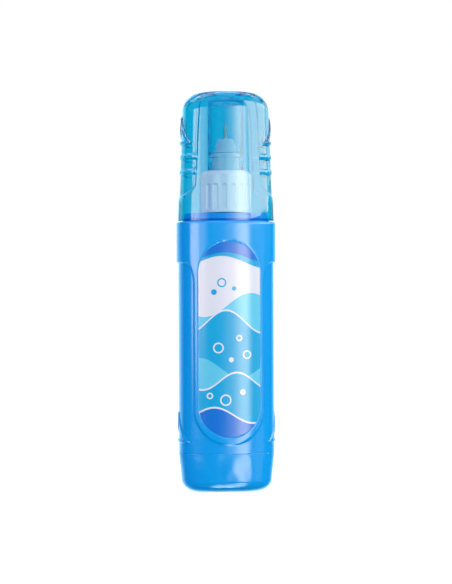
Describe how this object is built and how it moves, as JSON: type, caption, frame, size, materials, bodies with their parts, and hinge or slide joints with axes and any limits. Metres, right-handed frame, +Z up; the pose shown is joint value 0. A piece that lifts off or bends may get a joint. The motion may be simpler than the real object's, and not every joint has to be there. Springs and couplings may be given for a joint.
{
  "type": "correction fluid squeeze bottle",
  "caption": "Flat blue squeeze bottle for correction fluid, with a sprung needle tip under a clear pull-off cap and a long label.",
  "frame": {"origin": "centre of the base, on the surface that the bottle stands on", "axes": "+Z up through the cap, +X along the bottle's width, the front label faces -Y"},
  "size_m": [0.0278, 0.0184, 0.112],
  "materials": {
    "blue_plastic": "gloss moulded",
    "clear_plastic": "clear tinted, polished",
    "white_plastic": "satin moulded",
    "label_film": "satin printed film",
    "seal_foam": "soft foamed polyethylene",
    "steel": "bright"
  },
  "bodies": {
    "bottle_unit": {"bottle": "blue_plastic", "base_plug": "blue_plastic", "front_label": "label_film", "back_label": "label_film", "neck_gasket": "seal_foam", "applicator_collar": "white_plastic", "nozzle": "white_plastic", "metal_tip": "steel", "valve_spring": "steel", "spring_seat": "white_plastic"},
    "cap_unit": {"outer_cap": "clear_plastic"},
    "needle_unit": {"valve_needle": "steel"},
    "ball_unit": {"mixing_ball": "steel"}
  },
  "joints": [
    {"name": "cap_pull", "type": "slide", "parent": "bottle_unit", "child": "cap_unit", "axis": [0, 0, 1], "range_m": [0, 0.032]},
    {"name": "needle_press", "type": "slide", "parent": "bottle_unit", "child": "needle_unit", "axis": [0, 0, -1], "range_m": [0, 0.0006], "stiffness_N_per_m": 150, "springref_m": -0.001, "deforming": ["valve_spring"]},
    {"name": "ball_rattle", "type": "slide", "parent": "bottle_unit", "child": "ball_unit", "axis": [0, 0, 1], "range_m": [0, 0.066]}
  ]
}
